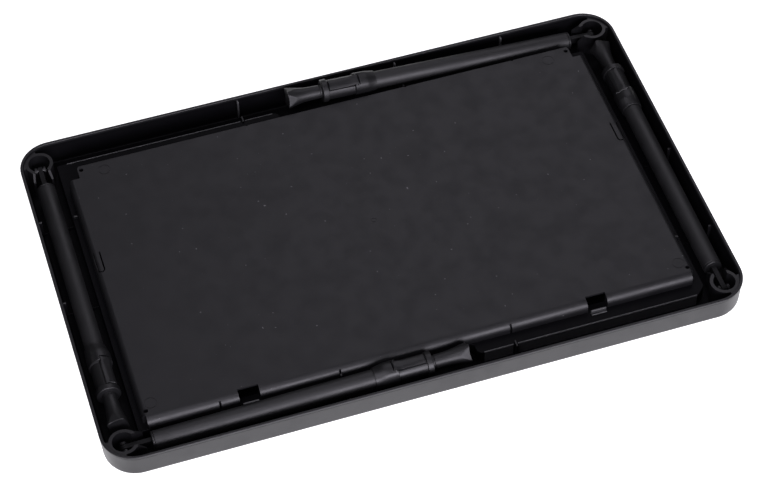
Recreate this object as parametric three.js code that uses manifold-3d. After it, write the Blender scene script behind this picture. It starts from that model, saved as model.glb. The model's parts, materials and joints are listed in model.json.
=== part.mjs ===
// Folding tray table lying on its tabletop, underside up, with four telescoping legs
// stowed in the channel round the cover panel. Millimetres, +Z up.
// Origin: centre of the tabletop's outer face. +X runs along the long side.
import * as THREE from 'three';
import { mergeVertices } from 'three/addons/utils/BufferGeometryUtils.js';
import Module from 'manifold-3d';

const wasm = await Module();
wasm.setup();

// ---- driving dimensions -------------------------------------------------------------
const TRAY_LENGTH = 600;
const TRAY_WIDTH = 382;
const RIM_TOP = 28.5;
const CORNER_RADIUS = 31.6;
const DECK_THICKNESS = 2.5;
const CORNER_SEGMENTS = 6;
const ROUND_SIDES = 20;
const SMALL_SIDES = 10;
const GAP = 0.3;

const PLINTH_TOP = 16;
const PLINTH_HALF_X = 264.8;
const PLINTH_WALL = 2.2;
const LEDGE_Y = 168.7;
const LEDGE_START_X = 44;
const LEDGE_END_X = 256;

const PANEL_TOP = 27.5;
const PANEL_WALL = 2;
const PANEL_HALF_X = 259;
const PANEL_BACK_Y = 151.9;
const PANEL_FRONT_Y = -156;
const PANEL_ROLL = 8;
const PANEL_SIDE_ROUND = 4.5;
const PANEL_SKIRT_Z = PLINTH_TOP + GAP;
const NOTCH_X = 247.8;
const NOTCH_Y = 136.5;
const ROLL_END_X = 255.5;
const SCREW_PLACES = [[-244.3, 146.2], [244.3, 146.2], [-254.2, -143.6], [254.2, -143.6]];
const HOOK_X = 163;
const HOOK_WIDTH = 15;
const TAB_X = 254.6;
const TAB_Y = [20, 44];
const SLIT = 0.9;

const FRONT_SPUR_X = [-190, -80, 80];
const RIGHT_SPUR_Y = [-100, 0];
const FIN_X = 80;
const SIDE_FIN_Y = 100;

const LEG_X = 280.4;
const LEG_Y = 168.3;
const PIVOT_Z = 15.5;
const SOCKET_INNER = 10.2;
const SOCKET_OUTER = 13.2;
const SOCKET_TOP = 26;
const MOUTH_HALF = 6.2;
const LINK_HALF = 2.2;
const LINK_DEPTH = 3.3;
const TUBE_OUTER = 8.7;
const TUBE_INNER = 7.6;
const TUBE_START = 26.7;
const SEAM = 227;
const TUBE_END = 243.7;
const COLLAR_END = 281.5;
const INNER_OUTER = 6.2;
const INNER_START = 70;
const INNER_END = 283;
const FOOT_END = 316;
const LEVER_HALF = 5;
const LEVER_TOP = 11.7;
const LEVER_PIVOT = { x: 246.6, z: 10.2 };

// Each leg: the corner its pivot is at, the way it lies, how far it is lifted off the
// channel floor, and how its clamp is turned about the tube.
const LEGS = [
  { name: 'front', corner: [-LEG_X, -LEG_Y], yaw: 0, lift: 1.2, roll: 0 },
  { name: 'right', corner: [LEG_X, -LEG_Y], yaw: 90, lift: 1, roll: -20 },
  { name: 'back', corner: [LEG_X, LEG_Y], yaw: 180, lift: 3.1, roll: -20 },
  { name: 'left', corner: [-LEG_X, LEG_Y], yaw: 270, lift: 1, roll: -30 },
];

// ---- materials ----------------------------------------------------------------------
const plastic = (color, roughness) => new THREE.MeshStandardMaterial({ color, roughness, metalness: 0 });
const steel = () => new THREE.MeshStandardMaterial({ color: 0x8a8c90, roughness: 0.35, metalness: 1 });
const SHELL_BLACK = plastic(0x17171a, 0.5);
const PANEL_BLACK = plastic(0x1b1b1e, 0.55);
const LEG_BLACK = plastic(0x1d1d20, 0.45);
const CLAMP_BLACK = plastic(0x19191c, 0.5);
const FOOT_BLACK = plastic(0x1a1a1c, 0.6);

// ---- solids -------------------------------------------------------------------------
function toSolid(geometry) {
  const bare = geometry.clone();
  bare.deleteAttribute('normal');
  bare.deleteAttribute('uv');
  const merged = mergeVertices(bare, 1e-4);
  const vertProperties = new Float32Array(merged.attributes.position.array);
  const triVerts = new Uint32Array(merged.index.array);
  return new wasm.Manifold(new wasm.Mesh({ numProp: 3, vertProperties, triVerts }));
}

function toMesh(name, solid, material) {
  const mesh = solid.getMesh();
  const geometry = new THREE.BufferGeometry();
  geometry.setAttribute('position', new THREE.BufferAttribute(mesh.vertProperties, 3));
  geometry.setIndex(new THREE.BufferAttribute(mesh.triVerts, 1));
  geometry.computeVertexNormals();
  const part = new THREE.Mesh(geometry, material);
  part.name = name;
  return part;
}

const joined = (solids) => solids.reduce((sum, solid) => sum.add(solid));
const cutBy = (solid, tools) => tools.reduce((rest, tool) => rest.subtract(tool), solid);

function box(x0, x1, y0, y1, z0, z1) {
  const geometry = new THREE.BoxGeometry(x1 - x0, y1 - y0, z1 - z0);
  geometry.translate((x0 + x1) / 2, (y0 + y1) / 2, (z0 + z1) / 2);
  return toSolid(geometry);
}

// An outline in XY, raised from z0 to z1.
function prism(shape, z0, z1, curveSegments = CORNER_SEGMENTS) {
  const geometry = new THREE.ExtrudeGeometry(shape, { depth: z1 - z0, bevelEnabled: false, curveSegments });
  geometry.translate(0, 0, z0);
  return toSolid(geometry);
}

// An outline whose shape x is the part's Y and shape y is the part's Z, run along X.
function runAlongX(shape, x0, x1, curveSegments = CORNER_SEGMENTS) {
  const geometry = new THREE.ExtrudeGeometry(shape, { depth: x1 - x0, bevelEnabled: false, curveSegments });
  geometry.rotateY(Math.PI / 2);
  geometry.rotateX(Math.PI / 2);
  geometry.translate(x0, 0, 0);
  return toSolid(geometry);
}

// An outline whose shape x is the part's X and shape y is the part's Z, run along Y.
function runAlongY(shape, y0, y1, curveSegments = CORNER_SEGMENTS) {
  const geometry = new THREE.ExtrudeGeometry(shape, { depth: y1 - y0, bevelEnabled: false, curveSegments });
  geometry.rotateX(Math.PI / 2);
  geometry.translate(0, y1, 0);
  return toSolid(geometry);
}

// A closed profile of [x, radius] points turned about the X axis.
function turned(profile, sides = ROUND_SIDES) {
  const points = profile.map(([along, radius]) => new THREE.Vector2(radius, along));
  const geometry = new THREE.LatheGeometry(points, sides);
  geometry.rotateZ(-Math.PI / 2);
  return toSolid(geometry);
}

const rod = (radius, x0, x1, sides) => turned([[x0, 0], [x0, radius], [x1, radius], [x1, 0]], sides);

function tube(outer, inner, x0, x1, sides) {
  return turned([[x0, inner], [x0, outer], [x1, outer], [x1, inner], [x0, inner]], sides);
}

function post(radius, x, y, z0, z1, sides = SMALL_SIDES) {
  const geometry = new THREE.CylinderGeometry(radius, radius, z1 - z0, sides);
  geometry.rotateX(Math.PI / 2);
  geometry.translate(x, y, (z0 + z1) / 2);
  return toSolid(geometry);
}

function pinAcross(radius, x, z, halfLength, sides = SMALL_SIDES) {
  const geometry = new THREE.CylinderGeometry(radius, radius, 2 * halfLength, sides);
  geometry.translate(x, 0, z);
  return toSolid(geometry);
}

function polygon(points) {
  return new THREE.Shape(points.map(([x, y]) => new THREE.Vector2(x, y)));
}

const placed = (solid, matrix) => solid.transform(Array.from(matrix.elements));

function cornerMatrix(leg) {
  const turn = new THREE.Matrix4().makeRotationZ(THREE.MathUtils.degToRad(leg.yaw));
  return turn.setPosition(leg.corner[0], leg.corner[1], 0);
}

// ---- tray shell ---------------------------------------------------------------------
// One rounded rectangle, set in from the tray's outline by `inset`, at height z.
function outlineRing(inset, z) {
  const radius = CORNER_RADIUS - inset;
  const x = TRAY_LENGTH / 2 - CORNER_RADIUS;
  const y = TRAY_WIDTH / 2 - CORNER_RADIUS;
  const centres = [[x, y], [-x, y], [-x, -y], [x, -y]];
  const ring = [];
  centres.forEach(([cx, cy], quarter) => {
    for (let step = 0; step <= CORNER_SEGMENTS; step += 1) {
      const angle = (quarter + step / CORNER_SEGMENTS) * Math.PI / 2;
      ring.push([cx + radius * Math.cos(angle), cy + radius * Math.sin(angle), z]);
    }
  });
  return ring;
}

// Skin through a stack of equal rings, closed at the first and last ring.
function skinned(rings) {
  const count = rings[0].length;
  const last = rings.length - 1;
  const positions = rings.flat(2);
  const centre = (ring) => [0, 0, ring[0][2]];
  positions.push(...centre(rings[0]), ...centre(rings[last]));
  const firstCentre = rings.length * count;
  const index = [];
  for (let side = 0; side < count; side += 1) {
    const next = (side + 1) % count;
    index.push(firstCentre, next, side);
    index.push(firstCentre + 1, last * count + side, last * count + next);
    for (let level = 0; level < last; level += 1) {
      const low = level * count;
      const high = low + count;
      index.push(low + side, low + next, high + next, low + side, high + next, high + side);
    }
  }
  const geometry = new THREE.BufferGeometry();
  geometry.setAttribute('position', new THREE.Float32BufferAttribute(positions, 3));
  geometry.setIndex(index);
  return toSolid(geometry);
}

function trayDish() {
  const profile = [
    [5, 0], [3.2, 0.9], [2, 2.6], [1.4, 5], [0.2, 27], [0.4, 28], [1, RIM_TOP],
    [2.6, RIM_TOP], [3.1, 28], [3.3, 27], [4.6, DECK_THICKNESS + 1.2], [5.8, DECK_THICKNESS],
  ];
  return skinned(profile.map(([inset, z]) => outlineRing(inset, z)));
}

// The raised base under the cover. It widens into a ledge where no leg lies.
function plinthOutline(inset) {
  const x = PLINTH_HALF_X - inset;
  const ledge = LEDGE_Y - inset;
  const front = PANEL_FRONT_Y + 0.4 + inset;
  const back = PANEL_BACK_Y - 0.4 - inset;
  const start = LEDGE_START_X + inset;
  const chamfer = PLINTH_HALF_X - LEDGE_END_X;
  return polygon([
    [-x, front], [start - 3, front], [start, front - 3], [start, -ledge + 4], [start + 4, -ledge],
    [x - chamfer, -ledge], [x, -ledge + chamfer], [x, back], [-start + 3, back], [-start, back + 3],
    [-start, ledge - 4], [-start - 4, ledge], [-x, ledge],
  ]);
}

function plinth() {
  const block = prism(plinthOutline(0), DECK_THICKNESS - 0.3, PLINTH_TOP);
  const hollow = prism(plinthOutline(PLINTH_WALL), DECK_THICKNESS, PLINTH_TOP - PLINTH_WALL);
  const mouth = box(-251, 251, -148, 144, DECK_THICKNESS, PLINTH_TOP + 1);
  return cutBy(block, [hollow, mouth]);
}

function screwBosses() {
  return SCREW_PLACES.map(([x, y]) => post(4.6, x, y, DECK_THICKNESS - 0.3, PLINTH_TOP));
}

function screwPilots() {
  return SCREW_PLACES.map(([x, y]) => post(1.5, x, y, 6, PLINTH_TOP + 1));
}

// Low ribs across the channel floor, each with a spur up the outer wall, and fins at
// the edges of the plinth and ledge. The back and left are the front and right turned half round.
function channelRibs() {
  const half = 1;
  const wallX = TRAY_LENGTH / 2 - 3;
  const wallY = TRAY_WIDTH / 2 - 3;
  const floor = DECK_THICKNESS - 0.3;
  const solids = [];
  for (const x of FRONT_SPUR_X) {
    solids.push(box(x - half, x + half, -wallY, -150, floor, 5));
    solids.push(box(x - half, x + half, -wallY, -wallY + 4.5, floor, 26));
  }
  for (const y of RIGHT_SPUR_Y) {
    solids.push(box(262, wallX, y - half, y + half, floor, 5));
    solids.push(box(wallX - 4, wallX, y - half, y + half, floor, 22));
  }
  solids.push(box(FIN_X - half, FIN_X + half, -LEDGE_Y - 4, -LEDGE_Y + 3, floor, 18));
  solids.push(box(-FIN_X - half, -FIN_X + half, PANEL_FRONT_Y - 2.6, PANEL_FRONT_Y + 0.6, floor, 23));
  solids.push(box(PANEL_HALF_X + 0.6, 267.4, -SIDE_FIN_Y - half, -SIDE_FIN_Y + half, floor, 19));
  return solids.flatMap((solid) => [solid, solid.rotate([0, 0, 180])]);
}

function coverHooks() {
  return [-HOOK_X, HOOK_X].map((x) => {
    const half = HOOK_WIDTH / 2;
    return box(x - half, x + half, PANEL_FRONT_Y - 2.6, PANEL_FRONT_Y + 2, PLINTH_TOP - 4, 20);
  });
}

// The C-shaped socket that an upright leg stands in, with sloping lips and two pin ears.
function cornerSocket(leg) {
  const floor = DECK_THICKNESS - 0.3;
  const ring = post(SOCKET_OUTER, 0, 0, floor, SOCKET_TOP, ROUND_SIDES);
  const bore = post(SOCKET_INNER, 0, 0, DECK_THICKNESS, SOCKET_TOP + 1, ROUND_SIDES);
  const mouth = box(0, SOCKET_OUTER + 1, -MOUTH_HALF, MOUTH_HALF, DECK_THICKNESS, SOCKET_TOP + 1);
  const parts = [cutBy(ring.add(socketWeb(leg)), [bore, mouth])];
  for (const side of [-1, 1]) {
    const lip = [[8, 6.2], [11, 6], [18.4, 7.8], [18, 9.4], [11, 8.4], [8.2, 10.2]];
    const wall = prism(polygon(lip.map(([x, y]) => [x, side * y])), floor, SOCKET_TOP);
    const slope = polygon([[11, SOCKET_TOP + 1], [11, SOCKET_TOP], [19, 20], [19, SOCKET_TOP + 1]]);
    parts.push(wall.subtract(runAlongY(slope, -14, 14)));
    const near = LINK_HALF + 0.8;
    const far = near + 2.4;
    const [y0, y1] = side > 0 ? [near, far] : [-far, -near];
    parts.push(box(-3.6, 3.6, y0, y1, floor, PIVOT_Z));
    const ear = pinAcross(3.6, 0, PIVOT_Z, 1.2);
    parts.push(ear.translate([0, (y0 + y1) / 2, 0]));
  }
  const solid = joined(parts).subtract(pinAcross(1.8, 0, PIVOT_Z, 8));
  return placed(solid, cornerMatrix(leg));
}

// Solid web between the socket's ring and the corner of the outer wall.
function socketWeb(leg) {
  const centreX = LEG_X - TRAY_LENGTH / 2 + CORNER_RADIUS;
  const centreY = LEG_Y - TRAY_WIDTH / 2 + CORNER_RADIUS;
  const alongX = leg.yaw % 180 === 0;
  const forward = alongX ? centreX : centreY;
  const across = alongX ? centreY : centreX;
  const outward = Math.atan2(-across, -forward);
  const points = [];
  for (const step of [-3, -2, -1, 0, 1, 2, 3]) {
    const angle = outward + step * 0.16;
    const reach = CORNER_RADIUS - 2.4;
    points.push([forward + reach * Math.cos(angle), across + reach * Math.sin(angle)]);
  }
  return prism(polygon([...points, [0, 0]]), DECK_THICKNESS - 0.3, SOCKET_TOP);
}

function trayShell() {
  const inside = [plinth(), ...screwBosses(), ...channelRibs(), ...coverHooks()];
  const solid = cutBy(joined([trayDish(), ...inside, ...LEGS.map(cornerSocket)]), screwPilots());
  return toMesh('tray_shell', solid, SHELL_BLACK);
}

// ---- cover panel --------------------------------------------------------------------
function panelBlock(inset, floor) {
  const half = [
    [ROLL_END_X - inset, PANEL_FRONT_Y + inset],
    [ROLL_END_X - inset, PANEL_FRONT_Y + PANEL_ROLL + inset],
    [PANEL_HALF_X - inset, PANEL_FRONT_Y + PANEL_ROLL + inset],
    [PANEL_HALF_X - inset, NOTCH_Y - inset],
    [NOTCH_X - inset, NOTCH_Y - inset],
    [NOTCH_X - inset, PANEL_BACK_Y - inset],
  ];
  const mirrored = half.map(([x, y]) => [-x, y]).reverse();
  const outline = polygon([...half, ...mirrored]);
  const top = PANEL_TOP - inset;
  const side = new THREE.Shape();
  side.moveTo(PANEL_BACK_Y - inset, floor);
  side.lineTo(PANEL_BACK_Y - inset, top - 1);
  side.lineTo(PANEL_BACK_Y - inset - 1, top);
  side.lineTo(PANEL_FRONT_Y + PANEL_ROLL, top);
  const rollY = PANEL_FRONT_Y + PANEL_ROLL;
  side.absarc(rollY, PANEL_TOP - PANEL_ROLL, PANEL_ROLL - inset, Math.PI / 2, Math.PI, false);
  side.lineTo(PANEL_FRONT_Y + inset, floor);
  const across = new THREE.Shape();
  const shoulder = PANEL_HALF_X - PANEL_SIDE_ROUND;
  const rise = PANEL_TOP - PANEL_SIDE_ROUND;
  const bend = PANEL_SIDE_ROUND - inset;
  across.moveTo(-PANEL_HALF_X + inset, floor);
  across.lineTo(PANEL_HALF_X - inset, floor);
  across.absarc(shoulder, rise, bend, 0, Math.PI / 2, false);
  across.absarc(-shoulder, rise, bend, Math.PI / 2, Math.PI, false);
  const rolled = runAlongX(side, -PANEL_HALF_X, PANEL_HALF_X);
  const rounded = runAlongY(across, PANEL_FRONT_Y, PANEL_BACK_Y, 3);
  return prism(outline, floor, PANEL_TOP + 1).intersect(rolled).intersect(rounded);
}

// A tongue cut free on three sides. Its free end points to the front.
function snapTabSlits() {
  const [front, back] = TAB_Y;
  const slits = [];
  for (const side of [-1, 1]) {
    for (const offset of [-3.4, 2.6]) {
      const x = side * (TAB_X + offset);
      slits.push(box(x - SLIT / 2, x + SLIT / 2, front, back, PANEL_TOP - 3, PANEL_TOP + 1));
    }
    const inner = side * (TAB_X - 3.4 - SLIT / 2);
    const outer = side * (TAB_X + 2.6 + SLIT / 2);
    const [low, high] = [Math.min(inner, outer), Math.max(inner, outer)];
    slits.push(box(low, high, front - SLIT, front, PANEL_TOP - 3, PANEL_TOP + 1));
  }
  return slits;
}

function coverPanel() {
  const shell = panelBlock(0, PANEL_SKIRT_Z).subtract(panelBlock(PANEL_WALL, PANEL_SKIRT_Z - 1));
  const room = panelBlock(0.5, PANEL_SKIRT_Z);
  const posts = SCREW_PLACES.map(([x, y]) => {
    return post(3.8, x, y, PANEL_SKIRT_Z, PANEL_TOP - 0.5).intersect(room);
  });
  const bores = SCREW_PLACES.map(([x, y]) => post(2.1, x, y, PANEL_SKIRT_Z + 2, PANEL_TOP + 1));
  const holes = SCREW_PLACES.map(([x, y]) => post(1.5, x, y, PANEL_SKIRT_Z - 1, PANEL_TOP));
  const half = HOOK_WIDTH / 2 + 2;
  const windows = [-HOOK_X, HOOK_X].map((x) => {
    const back = PANEL_FRONT_Y + 9.5;
    return box(x - half, x + half, PANEL_FRONT_Y - 1, back, PANEL_SKIRT_Z - 1, PANEL_TOP + 1);
  });
  const nicks = [];
  for (const x of FRONT_SPUR_X) {
    const below = PANEL_SKIRT_Z - 1;
    nicks.push(box(x - 1.3, x + 1.3, PANEL_FRONT_Y - 1, PANEL_FRONT_Y + 1.2, below, PANEL_TOP));
    nicks.push(box(-x - 1.3, -x + 1.3, PANEL_BACK_Y - 1.4, PANEL_BACK_Y + 1, below, PANEL_TOP + 1));
  }
  const cuts = [...bores, ...holes, ...windows, ...nicks, ...snapTabSlits()];
  const solid = cutBy(joined([shell, ...posts]), cuts);
  return toMesh('cover_panel', solid, PANEL_BLACK);
}

function coverScrews() {
  return SCREW_PLACES.map(([x, y], place) => {
    const head = post(1.8, x, y, PANEL_SKIRT_Z + 2 + GAP, PANEL_SKIRT_Z + 4);
    const shank = post(1.2, x, y, 7, PANEL_SKIRT_Z + 3);
    return toMesh(`cover_screw_${place + 1}`, head.add(shank), steel());
  });
}

// ---- leg pieces, in the leg's own frame: pivot at the origin, +X towards the foot -----
function pivotPin(leg) {
  return toMesh(`${leg.name}_pivot_pin`, pinAcross(1.5, 0, 0, LINK_HALF + 3.2), steel());
}

// Flat link: a knuckle on the pin, and a T-head that keeps it inside the tube.
function legLink(leg) {
  const knuckle = pinAcross(3.5, 0, 0, LINK_HALF + 0.4);
  const strap = box(0, 43.5, -LINK_HALF, LINK_HALF, -LINK_DEPTH, LINK_DEPTH);
  const head = box(40.6, 43.5, -4.4, 4.4, -LINK_DEPTH, LINK_DEPTH);
  const solid = joined([knuckle, strap, head]).subtract(pinAcross(1.8, 0, 0, 8));
  return toMesh(`${leg.name}_leg_link`, solid, LEG_BLACK);
}

function tubePlug(leg) {
  const cap = turned([
    [24.5, 0], [24.5, 8.3], [24.9, TUBE_OUTER], [26.4, TUBE_OUTER], [26.4, 7.2], [40.2, 7.2], [40.2, 0],
  ]);
  const slot = box(20, 45, -LINK_HALF - GAP, LINK_HALF + GAP, -LINK_DEPTH - GAP, LINK_DEPTH + GAP);
  return toMesh(`${leg.name}_tube_plug`, cap.subtract(slot), CLAMP_BLACK);
}

function outerTube(leg) {
  return toMesh(`${leg.name}_outer_tube`, tube(TUBE_OUTER, TUBE_INNER, TUBE_START, TUBE_END), LEG_BLACK);
}

// Clamp collar: cone, wide band with a boss for the lever, sleeve, and flange.
function clampCollar(leg) {
  const body = turned([
    [SEAM, 9.1], [SEAM, 9.9], [SEAM + 9, 10.8], [SEAM + 21.2, 10.8], [SEAM + 22, 9.6], [275.5, 9.6],
    [275.5, 11], [281, 11], [COLLAR_END, 10.5], [COLLAR_END, 6.6], [TUBE_END + 0.6, 6.6],
    [TUBE_END + 0.6, 9.1], [SEAM, 9.1],
  ]);
  const boss = rod(8.8, SEAM + 9.5, SEAM + 22.4, 20).translate([0, 0, 3.8]);
  const room = rod(9.1, SEAM - 1, TUBE_END + 0.6);
  const throughBore = rod(6.6, SEAM, COLLAR_END + 1);
  const pocket = box(243.3, 275.1, -LEVER_HALF - GAP, LEVER_HALF + GAP, 7.1, 14);
  const pinHole = pinAcross(1.2, LEVER_PIVOT.x, LEVER_PIVOT.z, 9);
  const solid = cutBy(joined([body, boss]), [room, throughBore, pocket, pinHole]);
  return toMesh(`${leg.name}_clamp_collar`, solid, CLAMP_BLACK);
}

function clampLever(leg) {
  const side = new THREE.Shape();
  side.moveTo(LEVER_PIVOT.x, LEVER_PIVOT.z - 2.2);
  side.lineTo(252, 7.5);
  side.lineTo(274.8, 7.4);
  side.lineTo(274.8, LEVER_TOP - 0.6);
  side.lineTo(274.2, LEVER_TOP);
  side.lineTo(249.2, LEVER_TOP);
  side.lineTo(248.4, 12.1);
  side.lineTo(LEVER_PIVOT.x, LEVER_PIVOT.z + 2.2);
  side.absarc(LEVER_PIVOT.x, LEVER_PIVOT.z, 2.2, Math.PI / 2, Math.PI * 1.5, false);
  const half = LEVER_HALF;
  const section = polygon([[-half, 7], [half, 7], [half, 9.6], [3.4, LEVER_TOP], [3.2, 13], [-3.2, 13],
    [-3.4, LEVER_TOP], [-half, 9.6]]);
  const plate = runAlongY(side, -half, half).intersect(runAlongX(section, 240, 280));
  const shape = plate.subtract(pinAcross(1.2, LEVER_PIVOT.x, LEVER_PIVOT.z, 9));
  return toMesh(`${leg.name}_clamp_lever`, shape, CLAMP_BLACK);
}

function leverPin(leg) {
  return toMesh(`${leg.name}_lever_pin`, pinAcross(0.9, LEVER_PIVOT.x, LEVER_PIVOT.z, 6.2), steel());
}

function innerTube(leg) {
  return toMesh(`${leg.name}_inner_tube`, tube(INNER_OUTER, 5.1, INNER_START, INNER_END), LEG_BLACK);
}

function guideBush(leg) {
  const ring = tube(7.2, 6.5, INNER_START + 2, INNER_START + 14);
  return toMesh(`${leg.name}_guide_bush`, ring, CLAMP_BLACK);
}

// Trumpet foot: four flats trim the flare to a rounded square set corner up.
function foot(leg) {
  const body = turned([
    [268, 0], [268, 4.8], [INNER_END + GAP, 4.8], [INNER_END + GAP, 6.3], [284, 6.7], [296, 6.8],
    [303, 7.5], [309, 8.8], [313, 10.3], [315.2, 11], [FOOT_END, 10.7], [FOOT_END, 0],
  ]);
  const trim = box(260, 330, -8.3, 8.3, -8.3, 8.3).rotate([45, 0, 0]);
  return toMesh(`${leg.name}_foot`, body.intersect(trim), FOOT_BLACK);
}

function legGroup(leg) {
  const turn = new THREE.Group();
  turn.position.set(leg.corner[0], leg.corner[1], PIVOT_Z);
  turn.rotation.z = THREE.MathUtils.degToRad(leg.yaw);
  turn.add(pivotPin(leg));
  const lifted = new THREE.Group();
  lifted.rotation.y = -THREE.MathUtils.degToRad(leg.lift);
  lifted.add(legLink(leg), tubePlug(leg), outerTube(leg), innerTube(leg), guideBush(leg));
  const rolled = new THREE.Group();
  rolled.rotation.x = THREE.MathUtils.degToRad(leg.roll);
  rolled.add(clampCollar(leg), clampLever(leg), leverPin(leg), foot(leg));
  lifted.add(rolled);
  turn.add(lifted);
  return turn;
}

const trayTable = new THREE.Group();
trayTable.add(trayShell(), coverPanel(), ...coverScrews(), ...LEGS.map(legGroup));

export default trayTable;
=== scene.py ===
"""Folding tray table lying on its tabletop, underside up, with its four legs stowed."""
import json
import math

import bmesh
import bpy
from mathutils import Matrix, Vector


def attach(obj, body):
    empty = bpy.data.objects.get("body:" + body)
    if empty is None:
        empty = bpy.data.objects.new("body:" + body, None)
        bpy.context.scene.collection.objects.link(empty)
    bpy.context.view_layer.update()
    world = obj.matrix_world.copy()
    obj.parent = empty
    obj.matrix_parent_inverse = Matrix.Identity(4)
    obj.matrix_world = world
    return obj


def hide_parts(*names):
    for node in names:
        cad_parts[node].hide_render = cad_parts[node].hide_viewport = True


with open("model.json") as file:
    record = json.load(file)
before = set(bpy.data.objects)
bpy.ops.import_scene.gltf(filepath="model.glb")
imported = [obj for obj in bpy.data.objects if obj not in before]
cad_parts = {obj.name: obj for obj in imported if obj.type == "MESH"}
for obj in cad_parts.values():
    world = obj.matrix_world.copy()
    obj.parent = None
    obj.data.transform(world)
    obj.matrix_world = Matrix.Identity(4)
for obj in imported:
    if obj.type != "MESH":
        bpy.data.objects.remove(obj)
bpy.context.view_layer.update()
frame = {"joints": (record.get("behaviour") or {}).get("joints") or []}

MM = 0.001

# ---- driving sizes, in millimetres ---------------------------------------------------
TRAY_HALF_X = 299.9
TRAY_HALF_Y = 190.9
RIM_TOP = 28.5
CORNER_RADIUS = 31.6
DECK = 2.5

PLINTH_TOP = 16
PLINTH_HALF_X = 264.8
PLINTH_FRONT = -155.6
PLINTH_BACK = 151.5
LEDGE_Y = 168.7
LEDGE_START_X = 44
LEDGE_END_X = 256

PANEL_TOP = 27.5
PANEL_HALF_X = 259
PANEL_BACK_Y = 151.9
PANEL_FRONT_Y = -156
PANEL_ROLL = 8
PANEL_SKIRT_Z = 16.3
NOTCH_X = 247.8
NOTCH_Y = 136.5
ROLL_END_X = 255.5
SCREW_PLACES = [(-244.3, 146.2), (244.3, 146.2), (-254.2, -143.6), (254.2, -143.6)]
EJECTOR_PLACES = [(-223.4, 140), (223.4, 140), (-248.3, -136.7), (248.3, -136.7)]
HOOK_X = 163
TAB_X = 254.6
TAB_Y = (20, 44)
FRONT_SPUR_X = (-190, -80, 80)
RIGHT_SPUR_Y = (-100, 0)
FIN_X = 80
SIDE_FIN_Y = 100
PANEL_SIDE_ROUND = 4.5

SOCKET_INNER = 10.2
SOCKET_OUTER = 13.2
SOCKET_TOP = 26
LEG_INSET_X = 12
LEG_INSET_Y = 8.9
MOUTH_HALF = 6.2

PIVOT_Z = 15.5
TUBE_OUTER = 8.7
TUBE_INNER = 7.6
TUBE_START = 26.7
SEAM = 227
TUBE_END = 243.7
COLLAR_END = 281.5
LEVER_X = 246.6
LEVER_Z = 10.2
INNER_OUTER = 6.2
INNER_START = 70
INNER_END = 283
FLARE_START = 292
FOOT_END = 316

# ---- shared small sizes ----------------------------------------------------------------
ROOT = 0.3                # how far pieces that stand on the deck are sunk into it
BAR_HALF = 0.9            # half a rib's or spur's thickness
WALL_FACE = 3.4           # how far in from the outline the bars on the rim wall begin
SPUR_REACH = 4.2          # a front or back spur's length, measured from there
RIB_TOP = 5
BACK_SPUR_TOP = 26
FRONT_SPUR_TOP = 22.5
SIDE_SPUR_TOP = 22
PIN_HOLE = 1.75
LEVER_PIN_HOLE = 1.2

# ---- mesh tools ------------------------------------------------------------------------


def rounded(points, closed=True, steps=4):
    """A 2-D outline. A point with a third value gets a corner arc of that radius."""
    outline = []
    for place, point in enumerate(points):
        here = Vector(point[:2])
        inner = closed or 0 < place < len(points) - 1
        if len(point) < 3 or not inner:
            outline.append(tuple(here))
            continue
        back = Vector(points[place - 1][:2]) - here
        ahead = Vector(points[(place + 1) % len(points)][:2]) - here
        half = back.angle(ahead) / 2
        reach = min(point[2] / math.tan(half), 0.48 * back.length, 0.48 * ahead.length)
        radius = reach * math.tan(half)
        centre = here + (back.normalized() + ahead.normalized()).normalized() * (radius / math.sin(half))
        start = here + back.normalized() * reach - centre
        end = here + ahead.normalized() * reach - centre
        sweep = math.copysign(math.pi - 2 * half, start.x * end.y - start.y * end.x)
        for step in range(steps + 1):
            turn = sweep * step / steps
            x = start.x * math.cos(turn) - start.y * math.sin(turn)
            y = start.x * math.sin(turn) + start.y * math.cos(turn)
            outline.append((centre.x + x, centre.y + y))
    return outline


def arc(x, y, radius, start, end, steps):
    """Points on an arc, with its angles in degrees."""
    angles = [math.radians(start + (end - start) * step / steps) for step in range(steps + 1)]
    return [(x + radius * math.cos(angle), y + radius * math.sin(angle)) for angle in angles]


def extruded(outline, low, high, axis="z"):
    """A 2-D outline made solid between low and high along an axis."""
    order = {"x": lambda u, v, w: (w, u, v), "y": lambda u, v, w: (u, w, v), "z": lambda u, v, w: (u, v, w)}
    count = len(outline)
    verts = [order[axis](u, v, w) for w in (low, high) for u, v in outline]
    faces = [tuple(range(count)), tuple(range(count, 2 * count))]
    for here in range(count):
        after = (here + 1) % count
        faces.append((here, after, count + after, count + here))
    return verts, faces


def cuboid(x0, x1, y0, y1, z0, z1):
    return extruded([(x0, y0), (x1, y0), (x1, y1), (x0, y1)], z0, z1)


def lathed(profile, sides=64):
    """A profile of (x, radius) points turned about the X axis."""
    verts = []
    rings = []
    for x, radius in profile:
        if radius < 1e-6:
            rings.append([len(verts)])
            verts.append((x, 0, 0))
            continue
        rings.append(list(range(len(verts), len(verts) + sides)))
        for side in range(sides):
            angle = math.tau * side / sides
            verts.append((x, radius * math.cos(angle), radius * math.sin(angle)))
    pairs = list(zip(rings, rings[1:]))
    if len(rings[0]) > 1 and len(rings[-1]) > 1:
        pairs.append((rings[-1], rings[0]))
    faces = []
    for low, high in pairs:
        for side in range(sides):
            after = (side + 1) % sides
            if len(low) == 1:
                faces.append((low[0], high[side], high[after]))
            elif len(high) == 1:
                faces.append((low[side], high[0], low[after]))
            else:
                faces.append((low[side], high[side], high[after], low[after]))
    return verts, faces


def skinned(rings):
    """Equal rings of 3-D points joined into a skin, closed by the first and last ring."""
    count = len(rings[0])
    verts = [point for ring in rings for point in ring]
    last = (len(rings) - 1) * count
    faces = [tuple(range(count)), tuple(range(last, last + count))]
    for level in range(len(rings) - 1):
        low = level * count
        for side in range(count):
            after = (side + 1) % count
            faces.append((low + side, low + after, low + count + after, low + count + side))
    return verts, faces


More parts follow.
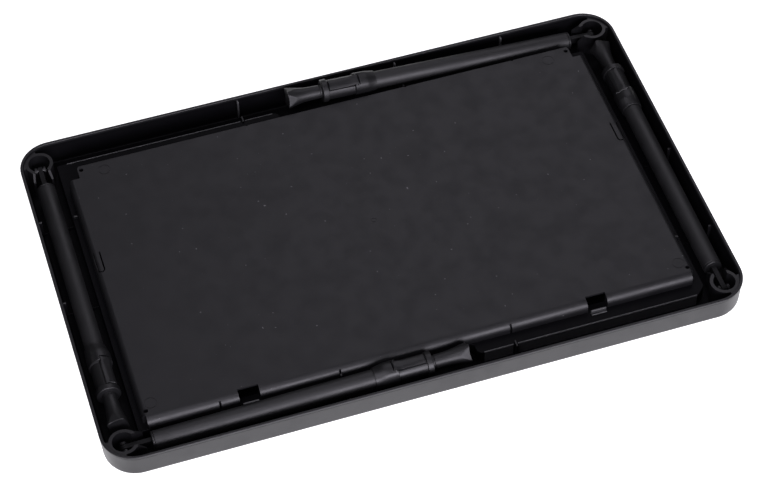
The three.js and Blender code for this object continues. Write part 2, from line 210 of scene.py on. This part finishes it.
def turned_to(shape, axis="z", at=(0, 0, 0)):
    """A shape made about the X axis, turned to stand along another axis and moved."""
    verts, faces = shape
    order = {"x": lambda x, y, z: (x, y, z), "y": lambda x, y, z: (z, x, y), "z": lambda x, y, z: (y, z, x)}
    moved = [tuple(a + b for a, b in zip(order[axis](*point), at)) for point in verts]
    return moved, faces


def post(radius, x, y, z0, z1, sides=32):
    return turned_to(lathed([(z0, 0), (z0, radius), (z1, radius), (z1, 0)], sides), "z", (x, y, 0))


def solid(shape, name="tool"):
    """A Blender object from (points, faces) in millimetres, with its faces pointing out."""
    verts, faces = shape
    mesh = bpy.data.meshes.new(name)
    mesh.from_pydata([tuple(value * MM for value in point) for point in verts], [], faces)
    face_out(mesh)
    obj = bpy.data.objects.new(name, mesh)
    bpy.context.scene.collection.objects.link(obj)
    return obj


def face_out(mesh):
    work = bmesh.new()
    work.from_mesh(mesh)
    bmesh.ops.recalc_face_normals(work, faces=work.faces)
    work.to_mesh(mesh)
    work.free()
    mesh.update()


def shape_of(obj):
    """The (points, faces) of an object, in millimetres. The object is removed."""
    points = [tuple(vertex.co / MM) for vertex in obj.data.vertices]
    faces = [tuple(face.vertices) for face in obj.data.polygons]
    bpy.data.objects.remove(obj)
    return points, faces


def apply_modifiers(obj):
    shown = obj.evaluated_get(bpy.context.evaluated_depsgraph_get())
    mesh = bpy.data.meshes.new_from_object(shown)
    obj.modifiers.clear()
    obj.data = mesh


def combine(obj, shapes, operation="DIFFERENCE"):
    """Cuts shapes from obj, or joins them to it, then removes the tools."""
    tools = [solid(shape) for shape in shapes]
    for tool in tools:
        step = obj.modifiers.new("combine", "BOOLEAN")
        step.operation = operation
        step.solver = "EXACT"
        step.object = tool
    apply_modifiers(obj)
    for tool in tools:
        bpy.data.objects.remove(tool)
    return obj


def soften(obj, width, segments=3, angle=32):
    """Rounds the edges by width, in millimetres."""
    step = obj.modifiers.new("soften", "BEVEL")
    step.width = width * MM
    step.segments = segments
    step.limit_method = "ANGLE"
    step.angle_limit = math.radians(angle)
    step.use_clamp_overlap = True
    apply_modifiers(obj)
    return obj


def finished(obj, name, material, body, replaces=(), matrix=None, sharp=42):
    """Names, shades, places and attaches a piece."""
    if matrix is not None:
        obj.data.transform(matrix)
    obj.name = name
    obj.data.name = name
    obj.data.materials.clear()
    obj.data.materials.append(material)
    obj.data.shade_smooth()
    obj.data.set_sharp_from_angle(angle=math.radians(sharp))
    step = obj.modifiers.new("normals", "WEIGHTED_NORMAL")
    step.keep_sharp = True
    apply_modifiers(obj)
    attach(obj, body)
    if replaces:
        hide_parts(*replaces)
    return obj


# ---- materials -------------------------------------------------------------------------


def noise(tree, coordinates, scale, detail=2.0):
    node = tree.nodes.new("ShaderNodeTexNoise")
    node.inputs["Scale"].default_value = scale
    node.inputs["Detail"].default_value = detail
    tree.links.new(coordinates, node.inputs["Vector"])
    return node.outputs["Fac"]


def ranged(tree, value, low, high, to_low, to_high):
    node = tree.nodes.new("ShaderNodeMapRange")
    node.inputs["From Min"].default_value = low
    node.inputs["From Max"].default_value = high
    node.inputs["To Min"].default_value = to_low
    node.inputs["To Max"].default_value = to_high
    tree.links.new(value, node.inputs["Value"])
    return node.outputs["Result"]


def mixed(tree, factor, first, second):
    """first and second are colours or sockets."""
    node = tree.nodes.new("ShaderNodeMix")
    node.data_type = "RGBA"
    tree.links.new(factor, node.inputs["Factor"])
    for value, socket in ((first, node.inputs[6]), (second, node.inputs[7])):
        if isinstance(value, tuple):
            socket.default_value = (*value, 1)
        else:
            tree.links.new(value, socket)
    return node.outputs[2]


def moulded_plastic(name, dark, light, rough, grain=1500, grain_depth=0.00002, dust=0.0, gloss=0.5):
    """Black moulded plastic: fine grain, cloudy sheen, faint scuffs and a few specks of dust."""
    material = bpy.data.materials.new(name)
    material.use_nodes = True
    tree = material.node_tree
    shader = tree.nodes["Principled BSDF"]
    place = tree.nodes.new("ShaderNodeTexCoord").outputs["Object"]
    cloud = noise(tree, place, 9, 4)
    colour = mixed(tree, ranged(tree, cloud, 0.35, 0.65, 0, 1), dark, light)
    if dust:
        specks = ranged(tree, noise(tree, place, 420, 0), 0.885, 0.9, 0, dust)
        colour = mixed(tree, specks, colour, (0.35, 0.35, 0.36))
    tree.links.new(colour, shader.inputs["Base Color"])
    scuffs = noise(tree, place, 60, 6)
    blend = tree.nodes.new("ShaderNodeMath")
    blend.operation = "ADD"
    tree.links.new(ranged(tree, cloud, 0.3, 0.7, rough[0], rough[1]), blend.inputs[0])
    tree.links.new(ranged(tree, scuffs, 0.4, 0.7, -0.03, 0.05), blend.inputs[1])
    tree.links.new(blend.outputs[0], shader.inputs["Roughness"])
    bump = tree.nodes.new("ShaderNodeBump")
    bump.inputs["Strength"].default_value = 0.6
    bump.inputs["Distance"].default_value = grain_depth
    tree.links.new(noise(tree, place, grain, 3), bump.inputs["Height"])
    tree.links.new(bump.outputs["Normal"], shader.inputs["Normal"])
    shader.inputs["Specular IOR Level"].default_value = gloss
    return material


def pin_steel():
    material = bpy.data.materials.new("pin_steel")
    material.use_nodes = True
    tree = material.node_tree
    shader = tree.nodes["Principled BSDF"]
    place = tree.nodes.new("ShaderNodeTexCoord").outputs["Object"]
    worn = noise(tree, place, 500, 4)
    tree.links.new(mixed(tree, worn, (0.1, 0.1, 0.105), (0.2, 0.2, 0.205)), shader.inputs["Base Color"])
    tree.links.new(ranged(tree, worn, 0.3, 0.7, 0.35, 0.55), shader.inputs["Roughness"])
    shader.inputs["Metallic"].default_value = 1
    return material


SHELL = moulded_plastic(
    "shell_plastic", (0.0034, 0.0033, 0.0040), (0.0046, 0.0045, 0.0054),
    (0.38, 0.46),
)
# A darker, less glossy copy of the black plastic for the channel lining, plinth and floor ribs: painted shade
# in the channels.
CHANNEL_SHADE = moulded_plastic(
    "channel_shade_plastic", (0.0026, 0.0025, 0.0031), (0.0032, 0.0031, 0.0038),
    (0.44, 0.5), gloss=0.07,
)
# A much lighter, glossier copy of the black plastic on thin bars: painted highlight along their edges.
EDGE_HIGHLIGHT = moulded_plastic(
    "edge_highlight_plastic", (0.040, 0.040, 0.042), (0.048, 0.048, 0.050),
    (0.32, 0.40), gloss=0.8,
)
PANEL = moulded_plastic(
    "panel_plastic", (0.0044, 0.0043, 0.0052), (0.0048, 0.0047, 0.0056),
    (0.47, 0.48), dust=0.3,
)
TUBE = moulded_plastic(
    "tube_plastic", (0.0050, 0.0050, 0.0056), (0.0066, 0.0066, 0.0072),
    (0.50, 0.56), grain=2200, gloss=0.62,
)
LINK = moulded_plastic(
    "link_plastic", (0.0036, 0.0036, 0.0041), (0.0048, 0.0048, 0.0054),
    (0.48, 0.58), gloss=0.25,
)
CLAMP = moulded_plastic(
    "clamp_plastic", (0.0042, 0.0042, 0.0048), (0.0056, 0.0056, 0.0062),
    (0.40, 0.50), grain=2600,
)
FOOT = moulded_plastic(
    "foot_plastic", (0.0048, 0.0048, 0.0054), (0.0062, 0.0062, 0.0068),
    (0.44, 0.54), grain=2000,
)
STEEL = pin_steel()

# ---- tray shell ------------------------------------------------------------------------


def outline_ring(inset, z, steps=14):
    """The tray's rounded outline, set in by inset, at height z."""
    radius = CORNER_RADIUS - inset
    x = TRAY_HALF_X - CORNER_RADIUS
    y = TRAY_HALF_Y - CORNER_RADIUS
    points = []
    for quarter, (cx, cy) in enumerate(((x, y), (-x, y), (-x, -y), (x, -y))):
        points += arc(cx, cy, radius, quarter * 90, quarter * 90 + 90, steps)
    return [(px, py, z) for px, py in points]


def tray_dish():
    """Deck and rim wall, with a lip above a fine parting groove, and inside a darker, low-gloss lining that
    is painted shade in the channels.
    """
    profile = rounded([
        (12, 0), (1.7, 0, 5.5), (0.8, 25.0, 0.2), (2.0, 25.3, 0.1), (2.0, 26.0, 0.1), (0.15, 26.3, 0.3),
        (0.15, RIM_TOP, 0.9), (3.1, RIM_TOP, 0.9), (3.3, 26), (4.6, DECK, 1.6), (9, DECK),
    ], closed=False, steps=6)
    dish = solid(skinned([outline_ring(inset, z) for inset, z in profile]))
    finished(dish, "tray_dish", SHELL, "tray", ["tray_shell"], sharp=50)
    # Lining in the darker channel plastic: painted shade inside the channels.
    skin = rounded([
        (9, DECK - ROOT), (4.8, DECK - ROOT), (3.2, 25.8), (3.4, 25.8),
        (4.8, DECK + 0.15, 1.6), (9, DECK + 0.15),
    ], closed=False, steps=6)
    shade_lining = solid(skinned([outline_ring(inset, z) for inset, z in skin]))
    finished(shade_lining, "tray_channel_shade", CHANNEL_SHADE, "tray", sharp=50)


def tray_plinth():
    """Raised base under the cover. It widens into a ledge where no leg lies."""
    x = PLINTH_HALF_X
    start = LEDGE_START_X
    chamfer = x - LEDGE_END_X
    outline = rounded([
        (-x, PLINTH_FRONT, 2), (start - 3, PLINTH_FRONT, 1), (start, PLINTH_FRONT - 3, 1),
        (start, -LEDGE_Y + 4, 3), (start + 4, -LEDGE_Y, 3), (x - chamfer, -LEDGE_Y, 3),
        (x, -LEDGE_Y + chamfer, 3), (x, PLINTH_BACK, 2), (-start + 3, PLINTH_BACK, 1),
        (-start, PLINTH_BACK + 3, 1), (-start, LEDGE_Y - 4, 3), (-start - 4, LEDGE_Y, 3), (-x, LEDGE_Y, 2),
    ])
    plinth = solid(extruded(outline, DECK - ROOT, PLINTH_TOP))
    combine(plinth, [cuboid(-251, 251, -148, 144, 0, PLINTH_TOP + 1)])
    soften(plinth, 0.6)
    # The plinth takes the darker channel plastic: painted shade.
    finished(plinth, "tray_plinth", CHANNEL_SHADE, "tray")


def half_turned(bars):
    """The same bars turned half round about the tray's middle."""
    return [(-x1, -x0, -y1, -y0, z0, z1) for x0, x1, y0, y1, z0, z1 in bars]


def tray_bars():
    """Channel ribs, wall spurs, plinth fins, ledge lips and cover hooks: thin softened bars.

    Ribs, fins, side spurs and lips are repeated by a half turn. Front and back spurs differ in
    height, and the back spurs, ledge lips and hook bars take a lighter plastic that is a painted highlight,
    so each spur is placed on its own. The hooks are at the front only."""
    half = BAR_HALF
    wall_x = TRAY_HALF_X - WALL_FACE
    wall_y = TRAY_HALF_Y - WALL_FACE
    floor = DECK - ROOT
    ribs = []
    bars = []
    highlight_edges = []
    for x in FRONT_SPUR_X:
        ribs.append((x - half, x + half, -wall_y, -151, floor, RIB_TOP))
        highlight_edges.append((-x - half, -x + half, wall_y - SPUR_REACH, wall_y, floor, BACK_SPUR_TOP))
    for y in RIGHT_SPUR_Y:
        ribs.append((262, wall_x, y - half, y + half, floor, RIB_TOP))
        bars.append((wall_x - 3.2, wall_x, y - half, y + half, floor, SIDE_SPUR_TOP))
    bars.append((FIN_X - half, FIN_X + half, -LEDGE_Y - 4, -LEDGE_Y + 3, floor, 18))
    bars.append((-FIN_X - half, -FIN_X + half, -158.6, PLINTH_FRONT, floor, 23.5))
    bars.append((259.4, 263.6, -SIDE_FIN_Y - half, -SIDE_FIN_Y + half, floor, 19))
    # The ledge lips are thin beads in the lighter plastic: a painted highlight along the ledge edges.
    lip = (-LEDGE_Y - 0.1, -LEDGE_Y + 1.2, floor, PLINTH_TOP + 0.2)
    lips = [(LEDGE_START_X + 6, FIN_X - 2, *lip), (FIN_X + 2, LEDGE_END_X - 1, *lip)]
    highlight_edges += lips + half_turned(lips)
    bars += half_turned(bars)
    for x in FRONT_SPUR_X:
        bars.append((x - half, x + half, -wall_y, -wall_y + SPUR_REACH, floor, FRONT_SPUR_TOP))
    ribs += half_turned(ribs)
    for x in (-HOOK_X, HOOK_X):
        highlight_edges.append((x - 7.3, x + 7.3, -158.6, -156.9, 12, 20))
    highlight_edges.append((HOOK_X - 7.3, HOOK_X + 7.3, -160.6, -159.2, 12, 16.8))
    for place, bar in enumerate(bars):
        made = soften(solid(cuboid(*bar)), 0.5, 3)
        finished(made, f"tray_bar_{place + 1}", SHELL, "tray")
    # Back spurs, ledge lips and hook bars in the lighter plastic: painted highlight.
    for place, edge in enumerate(highlight_edges):
        made = soften(solid(cuboid(*edge)), 0.55, 3)
        finished(made, f"tray_highlight_edge_{place + 1}", EDGE_HIGHLIGHT, "tray")
    # Floor ribs in the darker channel plastic: painted shade.
    for place, rib in enumerate(ribs):
        made = soften(solid(cuboid(*rib)), 0.5, 3)
        finished(made, f"floor_rib_{place + 1}", CHANNEL_SHADE, "tray")


def socket_web(along_x):
    """Plan of the web that fills from the socket to the tray's rounded corner."""
    to_centre = (LEG_INSET_X, LEG_INSET_Y) if along_x else (LEG_INSET_Y, LEG_INSET_X)
    outward = math.degrees(math.atan2(-to_centre[1], -to_centre[0]))
    return arc(*to_centre, CORNER_RADIUS - 3, outward - 27, outward + 27, 12) + [(0, 0)]


def corner_socket(name, place):
    """C-shaped socket, mouth towards +X, with sloping lips, a corner web and two pin ears."""
    low = DECK - ROOT
    along_x = abs(place[0][0]) > 0.5
    socket = solid(post(SOCKET_OUTER, 0, 0, low, SOCKET_TOP, 72))
    shapes = [extruded(socket_web(along_x), low, SOCKET_TOP)]
    for side in (-1, 1):
        plan = [(8, 6.2), (11, 6), (18.4, 7.8), (18, 9.4), (11, 8.4), (8.2, 10.2)]
        lip = solid(extruded([(x, side * y) for x, y in plan], low, SOCKET_TOP))
        slope = [(11, SOCKET_TOP + 1), (11, SOCKET_TOP), (19, 20), (19, SOCKET_TOP + 1)]
        combine(lip, [extruded(slope, -14, 14, "y")])
        shapes.append(shape_of(lip))
    combine(socket, shapes, "UNION")
    bore = post(SOCKET_INNER, 0, 0, DECK, SOCKET_TOP + 1, 72)
    mouth = cuboid(0, SOCKET_OUTER + 1, -MOUTH_HALF, MOUTH_HALF, DECK, SOCKET_TOP + 1)
    combine(socket, [bore, mouth])
    soften(socket, 0.4, 3, 50)
    finished(socket, f"{name}_socket", SHELL, "tray", matrix=place)
    for side, word in ((-1, "near"), (1, "far")):
        outline = [(-3.6, low), (3.6, low)] + arc(0, PIVOT_Z, 3.6, 0, 180, 16)
        ear = solid(extruded(outline, *sorted((side * 3, side * 5.4)), axis="y"))
        hole = turned_to(lathed([(-8, 0), (-8, PIN_HOLE), (8, PIN_HOLE), (8, 0)], 32), "y", (0, 0, PIVOT_Z))
        combine(ear, [hole])
        soften(ear, 0.3, 2, 50)
        finished(ear, f"{name}_pin_ear_{word}", SHELL, "tray", matrix=place)


# ---- cover panel -----------------------------------------------------------------------


def panel_outline():
    edge = PANEL_FRONT_Y + PANEL_ROLL
    right = [
        (ROLL_END_X, PANEL_FRONT_Y, 1.5), (ROLL_END_X, edge, 0.6), (PANEL_HALF_X, edge, 1.5),
        (PANEL_HALF_X, NOTCH_Y, 2), (NOTCH_X, NOTCH_Y, 0.8), (NOTCH_X, PANEL_BACK_Y, 4),
    ]
    return rounded(right + [(-point[0], *point[1:]) for point in reversed(right)])


def panel_side():
    """Section of the panel across its width: square back edge, rolled front edge."""
    roll_z = PANEL_TOP - PANEL_ROLL
    front = arc(PANEL_FRONT_Y + PANEL_ROLL, roll_z, PANEL_ROLL, 90, 180, 14)
    back = rounded([(PANEL_FRONT_Y, PANEL_SKIRT_Z), (PANEL_BACK_Y, PANEL_SKIRT_Z, 0.2),
                    (PANEL_BACK_Y, PANEL_TOP, 0.9), (PANEL_FRONT_Y + PANEL_ROLL, PANEL_TOP)], closed=False)
    return back[:-1] + front


def cover_panel():
    panel = solid(extruded(panel_outline(), PANEL_SKIRT_Z, PANEL_TOP + 1))
    combine(panel, [extruded(panel_side(), -PANEL_HALF_X - 1, PANEL_HALF_X + 1, "x")], "INTERSECT")
    across = rounded([(-PANEL_HALF_X, PANEL_SKIRT_Z), (PANEL_HALF_X, PANEL_SKIRT_Z),
                      (PANEL_HALF_X, PANEL_TOP, PANEL_SIDE_ROUND),
                      (-PANEL_HALF_X, PANEL_TOP, PANEL_SIDE_ROUND)], steps=8)
    combine(panel, [extruded(across, PANEL_FRONT_Y - 1, PANEL_BACK_Y + 1, "y")], "INTERSECT")
    inside = cuboid(-PANEL_HALF_X + 2, PANEL_HALF_X - 2, PANEL_FRONT_Y + PANEL_ROLL, NOTCH_Y - 2,
                    PANEL_SKIRT_Z - 1, PANEL_TOP - 2)
    corners = [post(4.5, x, y, PANEL_SKIRT_Z - 2, PANEL_TOP - 1) for x, y in SCREW_PLACES]
    hollow = combine(solid(inside), corners)
    cuts = [shape_of(hollow)]
    for x in (-HOOK_X, HOOK_X):
        cuts.append(cuboid(x - 9.5, x + 9.5, PANEL_FRONT_Y - 1, PANEL_FRONT_Y + 9.5, 0, PANEL_TOP + 1))
    for x in FRONT_SPUR_X:
        cuts.append(cuboid(x - 1, x + 1, PANEL_FRONT_Y - 1, PANEL_FRONT_Y + 3.2, 0, PANEL_TOP + 1))
        cuts.append(cuboid(-x - 1.2, -x + 1.2, PANEL_BACK_Y - 1.4, PANEL_BACK_Y + 1, 0, PANEL_TOP + 1))
    for x, y in SCREW_PLACES:
        cuts.append(post(2.1, x, y, PANEL_SKIRT_Z + 2, PANEL_TOP + 1))
        cuts.append(post(1.5, x, y, PANEL_SKIRT_Z - 1, PANEL_TOP))
    for x, y in EJECTOR_PLACES:
        cuts.append(ring_groove(5.8, x, y))
    cuts.append(ring_groove(2.5, 0, 0))
    combine(panel, cuts)
    combine(panel, [tongue_slit(side) for side in (-1, 1)])
    soften(panel, 0.3, 2, 50)
    finished(panel, "cover_moulding", PANEL, "tray", ["cover_panel"], sharp=35)


def ring_groove(radius, x, y):
    """A fine round groove in the panel's top, left by the mould."""
    low = PANEL_TOP - 0.3
    high = PANEL_TOP + 1
    profile = [(low, radius - 0.5), (low, radius), (high, radius), (high, radius - 0.5)]
    return turned_to(lathed(profile, 48), "z", (x, y, 0))


def tongue_slit(side):
    """A narrow U that frees a snap tongue on three sides."""
    wide = 0.65
    front, back = TAB_Y
    inner = TAB_X - 3.4
    outer = TAB_X + 2.6
    middle = [(inner, back), (inner, front + 2), (inner + 2, front), (outer - 2, front), (outer, front + 2),
              (outer, back)]
    loop = rounded([(x, y, 1.5) for x, y in middle], closed=False)
    left = []
    right = []
    for place, (x, y) in enumerate(loop):
        along = (Vector(loop[min(place + 1, len(loop) - 1)]) - Vector(loop[max(place - 1, 0)])).normalized()
        left.append((side * (x - along.y * wide), y + along.x * wide))
        right.append((side * (x + along.y * wide), y - along.x * wide))
    return extruded(left + right[::-1], PANEL_TOP - 3, PANEL_TOP + 1)


def cover_screws():
    for place, (x, y) in enumerate(SCREW_PLACES):
        low = PANEL_SKIRT_Z + 2.3
        profile = rounded([(7, 0), (7, 0.5), (8.5, 1.2, 0.3), (low, 1.2), (low, 1.85, 0.2),
                           (low + 1.4, 1.6, 0.8), (low + 1.7, 0)], closed=False)
        screw = solid(turned_to(lathed(profile, 32), "z", (x, y, 0)))
        cross = [cuboid(x - 1.1, x + 1.1, y - 0.25, y + 0.25, low + 0.9, low + 3),
                 cuboid(x - 0.25, x + 0.25, y - 1.1, y + 1.1, low + 0.9, low + 3)]
        combine(screw, cross)
        node = f"cover_screw_{place + 1}"
        finished(screw, f"panel_screw_{place + 1}", STEEL, "tray", [node])


# ---- leg pieces, in the leg's own frame: pivot at the origin, +X towards the foot --------


def leg_link(name, place):
    outline = arc(0, 0, 3.6, 66, 294, 24) + [(44, -3.3), (44, 3.3)]
    link = solid(extruded(outline, -2.2, 2.2, "y"))
    combine(link, [cuboid(40.6, 43.6, -4.4, 4.4, -3.3, 3.3)], "UNION")
    combine(link, [turned_to(lathed([(-8, 0), (-8, PIN_HOLE), (8, PIN_HOLE), (8, 0)], 32), "y")])
    soften(link, 0.45, 3, 50)
    finished(link, f"{name}_link", LINK, f"{name}_leg", [f"{name}_leg_link"], place)


def pivot_pin(name, place):
    profile = rounded([(-5.4, 0), (-5.4, 1.5, 0.5), (5.4, 1.5, 0.5), (5.4, 0)], closed=False)
    pin = solid(turned_to(lathed(profile, 32), "y"))
    finished(pin, f"{name}_pin", STEEL, "tray", [f"{name}_pivot_pin"], place)


def tube_plug(name, place):
    profile = rounded([(24.5, 0), (24.5, TUBE_OUTER, 0.7), (26.4, TUBE_OUTER, 0.25), (26.4, 7.2),
                       (40.2, 7.2, 0.4), (40.2, 0)], closed=False)
    plug = solid(lathed(profile))
    combine(plug, [cuboid(20, 45, -2.5, 2.5, -3.6, 3.6)])
    finished(plug, f"{name}_plug", CLAMP, f"{name}_leg", [f"{name}_tube_plug"], place)


def hollow_tube(name, label, place, sizes, material, body, node):
    outer, inner, start, end = sizes
    profile = rounded([(start, inner), (start, outer, 0.3), (end, outer, 0.3), (end, inner)], closed=False)
    tube = solid(lathed(profile, 72))
    finished(tube, f"{name}_{label}", material, body, [f"{name}_{node}"], place)


def eased(value):
    """0 below 0, 1 above 1, and a smooth rise between."""
    value = min(1.0, max(0.0, value))
    return value * value * (3 - 2 * value)


def clamp_collar(name, place):
    """Cone, band and sleeve in one skin. The band swells over the lever's hinge."""
    profile = rounded([
        (SEAM, 9.2), (SEAM, 9.9, 0.4), (SEAM + 9, 10.7, 0.8), (SEAM + 21.4, 10.8, 0.4),
        (SEAM + 21.9, 9.6, 0.15), (275.4, 9.6, 0.15), (275.5, 11.1, 0.5), (281, 11.1, 0.8), (COLLAR_END, 6.7),
    ], closed=False)
    stations = [profile[0]]
    for here, after in zip(profile, profile[1:]):
        steps = max(1, round(abs(after[0] - here[0]) / 1.5))
        stations += [tuple(Vector(here).lerp(Vector(after), step / steps)) for step in range(1, steps + 1)]
    sides = 96
    rings = []
    for x, radius in stations:
        swell = 1.7 * eased((x - SEAM) / 12) if x < SEAM + 21.6 else 0
        ring = []
        for side in range(sides):
            angle = math.tau * side / sides
            off = abs(math.degrees(angle) - 90)
            off = min(off, 360 - off)
            reach = radius + swell * eased((78 - off) / 52)
            ring.append((x, reach * math.cos(angle), reach * math.sin(angle)))
        rings.append(ring)
    collar = solid(skinned(rings))
    step_x = TUBE_END + 0.6
    bore = [(SEAM - 2, 0), (SEAM - 2, 9.1), (step_x, 9.1), (step_x, 6.6), (290, 6.6), (290, 0)]
    pin_hole = turned_to(lathed([(-6.4, 0), (-6.4, LEVER_PIN_HOLE), (6.4, LEVER_PIN_HOLE), (6.4, 0)], 24),
                         "y", (LEVER_X, 0, LEVER_Z))
    combine(collar, [lathed(bore, 72), cuboid(243.9, 275.1, -5.25, 5.25, 7.1, 14), pin_hole])
    finished(collar, f"{name}_collar", CLAMP, f"{name}_leg", [f"{name}_clamp_collar"], place,
             sharp=30)


def clamp_lever(name, place):
    """Flap with a rounded hinge end, a back that follows the sleeve, and a thumb edge."""
    side = [(LEVER_X, LEVER_Z - 2.2), (252, 7.5), (274.6, 7.4), (274.7, 10.5), (274.1, 11.3), (272.6, 11.1),
            (253.5, 11.1), (249, 12.1)]
    side += arc(LEVER_X, LEVER_Z, 2.3, 80, 262, 12)
    lever = solid(extruded(side, -4.95, 4.95, "y"))
    back = [(240, 0), (240, 12.6), (249, 12.4), (254, 11.3), (271.5, 11.2), (273.5, 11.5), (276, 11.2),
            (276, 0)]
    combine(lever, [lathed(back, 72)], "INTERSECT")
    pin_hole = lathed([(-9, 0), (-9, LEVER_PIN_HOLE), (9, LEVER_PIN_HOLE), (9, 0)], 24)
    combine(lever, [turned_to(pin_hole, "y", (LEVER_X, 0, LEVER_Z))])
    soften(lever, 0.22, 2, 45)
    finished(lever, f"{name}_flap", CLAMP, f"{name}_lever", [f"{name}_clamp_lever"], place,
             sharp=30)


def lever_pin(name, place):
    profile = rounded([(-6.2, 0), (-6.2, 0.9, 0.3), (6.2, 0.9, 0.3), (6.2, 0)], closed=False)
    pin = solid(turned_to(lathed(profile, 24), "y", (LEVER_X, 0, LEVER_Z)))
    finished(pin, f"{name}_flap_pin", STEEL, f"{name}_leg", [f"{name}_lever_pin"], place)


def foot_flare(x):
    """0 on the foot's neck, rising to 1 at its end."""
    return max(0.0, (x - FLARE_START) / (FOOT_END - FLARE_START))


def foot_radius(x):
    """Neck, then a trumpet flare towards the end."""
    neck = 6.4
    flare = foot_flare(x)
    return neck + 0.3 * min(1, (x - 283) / 9) + (10.7 - neck - 0.3) * flare ** 1.9


def foot(name, place):
    """Four flats trim the flare: ridges run to points, with a hollowed end edge between them."""
    sides = 96
    flat = 8.5
    stations = [283.4 + (FOOT_END - 0.6 - 283.4) * step / 30 for step in range(31)]
    rings = []
    for x, inset in [(283.3, 0.3)] + [(x, 0) for x in stations] + [(FOOT_END - 0.2, 0.12), (FOOT_END, 0.6)]:
        ring = []
        flare = foot_flare(x)
        for side in range(sides):
            angle = math.tau * side / sides
            off = (angle % (math.pi / 2)) - math.pi / 4
            hollow = 0.8 * flare * (1 - (off / (math.pi / 4)) ** 2)
            radius = min(foot_radius(min(x, FOOT_END - 0.3)), flat / math.cos(off)) - inset
            ring.append((x - hollow, radius * math.cos(angle), radius * math.sin(angle)))
        rings.append(ring)
    made = solid(skinned(rings))
    combine(made, [lathed([(268, 0), (268, 4.7), (285, 4.7), (285, 0)], 48)], "UNION")
    finished(made, f"{name}_flared_foot", FOOT, f"{name}_extension", [f"{name}_foot"], place,
             sharp=18)


def matrix_of(origin, x_axis, y_axis):
    """Rest place of a leg frame in metres, from its joints' axes."""
    x_axis = Vector(x_axis).normalized()
    y_axis = (Vector(y_axis) - x_axis * Vector(y_axis).dot(x_axis)).normalized()
    z_axis = x_axis.cross(y_axis)
    turn = Matrix((x_axis, y_axis, z_axis)).transposed().to_4x4()
    turn.translation = Vector(origin)
    return turn


def leg(name, joints):
    swing = joints[f"{name}_swing"]
    slide = joints[f"{name}_slide"]
    hinge = joints[f"{name}_lever_hinge"]
    across = -Vector(swing["axis"])
    stowed = matrix_of(swing["pos_m"], slide["axis"], across)
    rolled = matrix_of(swing["pos_m"], slide["axis"], -Vector(hinge["axis"]))
    level = matrix_of(swing["pos_m"], across.cross(Vector((0, 0, 1))), across)
    corner = level.copy()
    corner.translation.z = 0
    corner_socket(name, corner)
    pivot_pin(name, level)
    leg_link(name, stowed)
    tube_plug(name, stowed)
    hollow_tube(name, "thick_tube", stowed, (TUBE_OUTER, TUBE_INNER, TUBE_START, TUBE_END), TUBE,
                f"{name}_leg", "outer_tube")
    hollow_tube(name, "thin_tube", stowed, (INNER_OUTER, 5.1, INNER_START, INNER_END), TUBE,
                f"{name}_extension", "inner_tube")
    hollow_tube(name, "bush", stowed, (7.2, 6.5, INNER_START + 2, INNER_START + 14), CLAMP,
                f"{name}_extension", "guide_bush")
    clamp_collar(name, rolled)
    clamp_lever(name, rolled)
    lever_pin(name, rolled)
    foot(name, rolled)


# ---- stage -----------------------------------------------------------------------------


def floor():
    ground = solid(cuboid(-3000, 3000, -3000, 3000, -20, 0), "floor")
    material = bpy.data.materials.new("floor_white")
    material.use_nodes = True
    shader = material.node_tree.nodes["Principled BSDF"]
    shader.inputs["Base Color"].default_value = (0.9, 0.9, 0.9, 1)
    shader.inputs["Roughness"].default_value = 0.9
    shader.inputs["Specular IOR Level"].default_value = 0.1
    shader.inputs["Emission Color"].default_value = (1, 1, 1, 1)
    shader.inputs["Emission Strength"].default_value = 0.95
    ground.data.materials.append(material)


def softbox(name, place, size, power):
    """A soft rectangle of cool white light that faces the tray."""
    light = bpy.data.lights.new(name, "AREA")
    light.shape = "RECTANGLE"
    light.size, light.size_y = size
    light.energy = power
    light.color = (1.0, 0.965, 1.08)
    obj = bpy.data.objects.new(name, light)
    obj.location = place
    obj.rotation_euler = (-Vector(place)).to_track_quat("-Z", "Y").to_euler()
    bpy.context.scene.collection.objects.link(obj)


def lights():
    world = bpy.data.worlds.new("studio")
    world.use_nodes = True
    world.node_tree.nodes["Background"].inputs["Color"].default_value = (1, 1, 1, 1)
    world.node_tree.nodes["Background"].inputs["Strength"].default_value = 0.05
    bpy.context.scene.world = world
    softbox("front_box", (0.1, -2.0, 0.8), (2.4, 0.9), 58)
    softbox("over_box", (-0.75, -0.8, 2.2), (1.5, 1.5), 20)
    softbox("back_box", (0.85, 1.80, 2.35), (2.0, 2.0), 13)


def camera():
    """Seen from the front left, looking down at the open side."""
    azimuth = math.radians(16.559)
    elevation = math.radians(50.833)
    roll = math.radians(1.447)
    data = bpy.data.cameras.new("camera")
    data.sensor_width = 36
    data.lens = 113.12
    data.clip_end = 20
    obj = bpy.data.objects.new("camera", data)
    turn = (Matrix.Rotation(-azimuth, 4, "Z") @ Matrix.Rotation(math.pi / 2 - elevation, 4, "X")
            @ Matrix.Rotation(-roll, 4, "Z"))
    turn.translation = (-0.3992, -1.36582, 1.73867)
    obj.matrix_world = turn
    bpy.context.scene.collection.objects.link(obj)
    bpy.context.scene.camera = obj


# ---- build -----------------------------------------------------------------------------

camera()
lights()
floor()
bpy.context.scene.view_settings.view_transform = "Standard"
tray_dish()
tray_plinth()
tray_bars()
cover_panel()
cover_screws()
joints_by_name = {joint["name"]: joint for joint in frame["joints"]}
for leg_name in ("front", "right", "back", "left"):
    leg(leg_name, joints_by_name)
